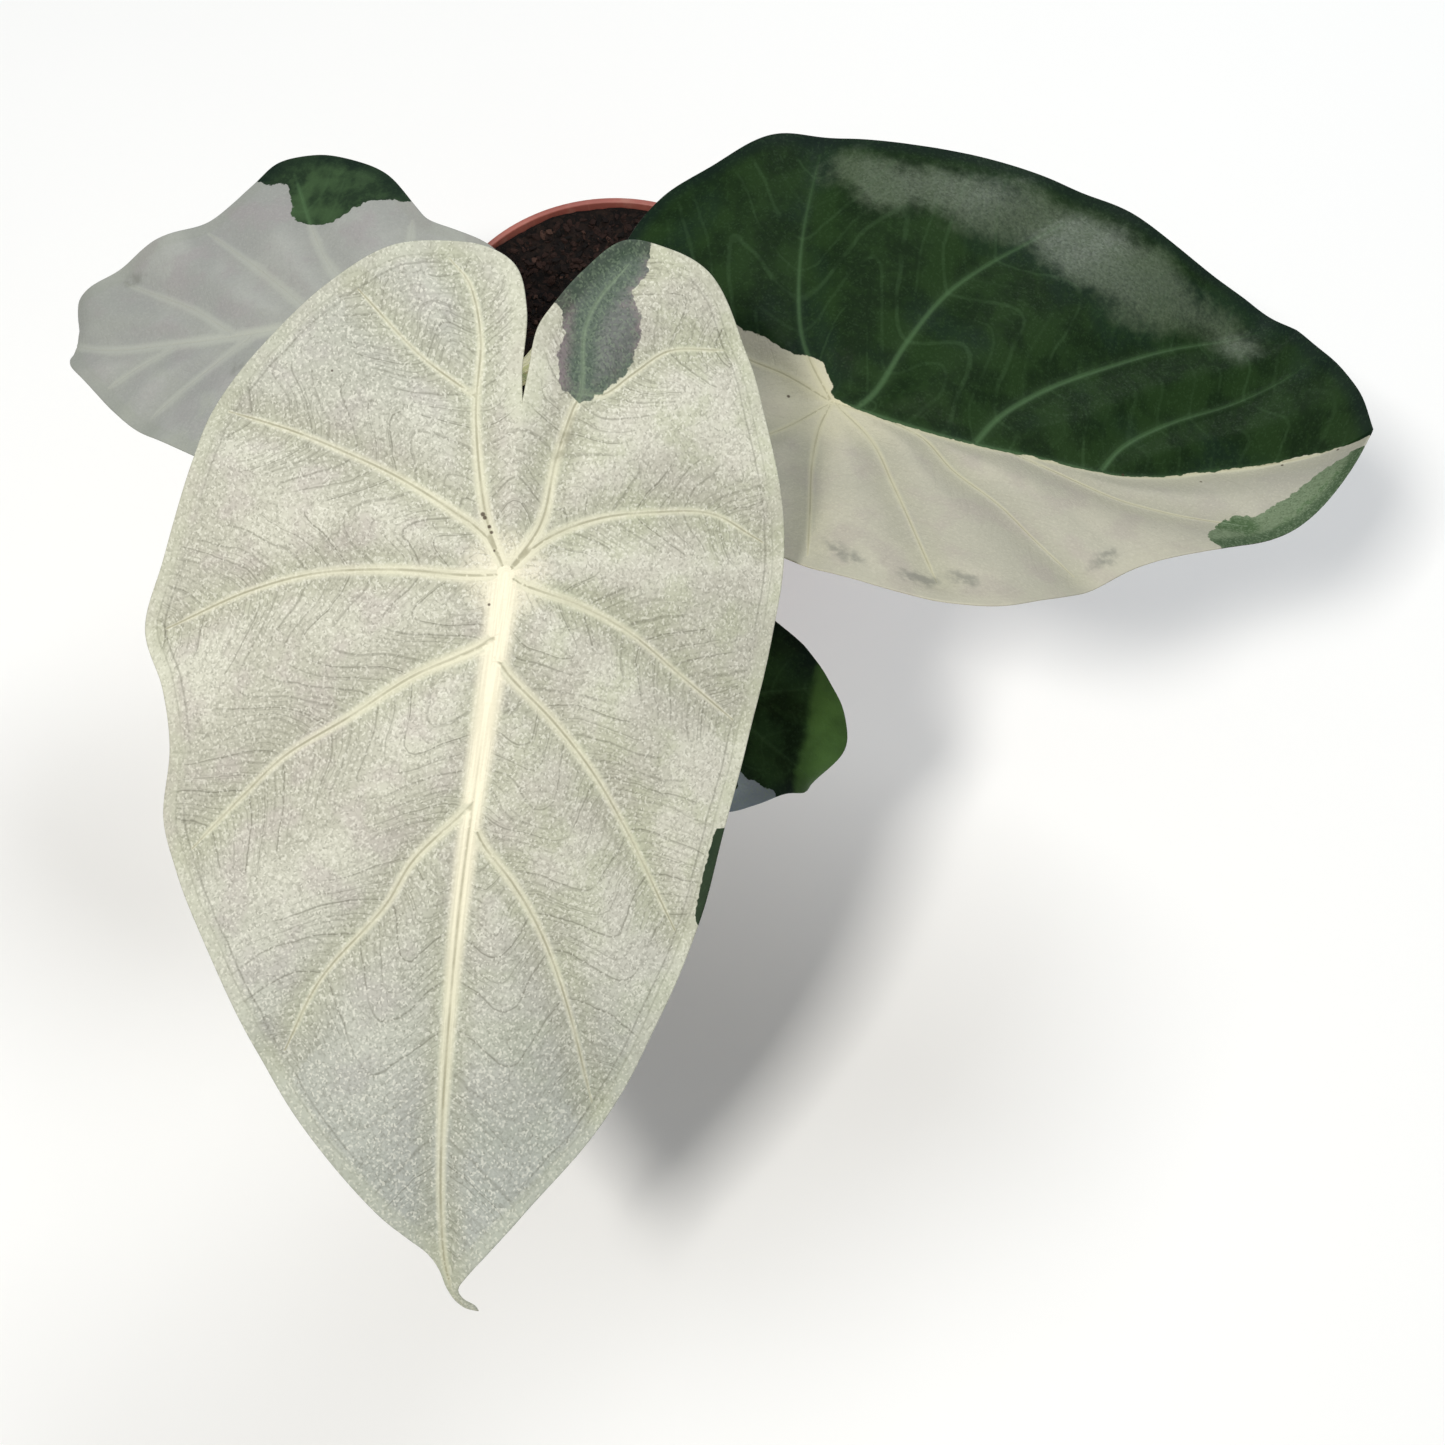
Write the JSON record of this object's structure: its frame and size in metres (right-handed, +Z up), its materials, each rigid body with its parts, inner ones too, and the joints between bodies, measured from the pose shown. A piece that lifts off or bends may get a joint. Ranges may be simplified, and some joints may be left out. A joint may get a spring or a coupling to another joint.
{
  "type": "regal shields alocasia in a pot",
  "caption": "Potted plant with large, drooping, shield-shaped leaves in cream and dark green on arching stalks, in a round plastic nursery pot.",
  "frame": {"origin": "middle of the pot's flat underside, on the surface that it stands on", "axes": "+Z up along the pot's axis, -Y towards the viewer, the side over which the largest leaf hangs"},
  "size_m": [0.3553, 0.36, 0.2648],
  "materials": {
    "pot": "matte terracotta-coloured plastic",
    "soil": "matte dark bark and peat mix",
    "crown": "satin stem skin, cream and green with papery brown edges",
    "petiole": "satin stalk skin, cream with green and brown flecks",
    "cream_leaf": "satin cream leaf skin with fine veins",
    "half_green_leaf": "satin leaf skin, one half dark green and the other cream",
    "green_leaf": "satin dark green leaf skin"
  },
  "bodies": {
    "root": {"pot": "pot", "soil": "soil", "crown": "crown", "petiole_front": "petiole", "petiole_right": "petiole", "petiole_left": "petiole", "petiole_low": "petiole", "blade_front": "cream_leaf", "blade_right": "half_green_leaf", "blade_left": "cream_leaf", "blade_low": "green_leaf"}
  },
  "joints": []
}
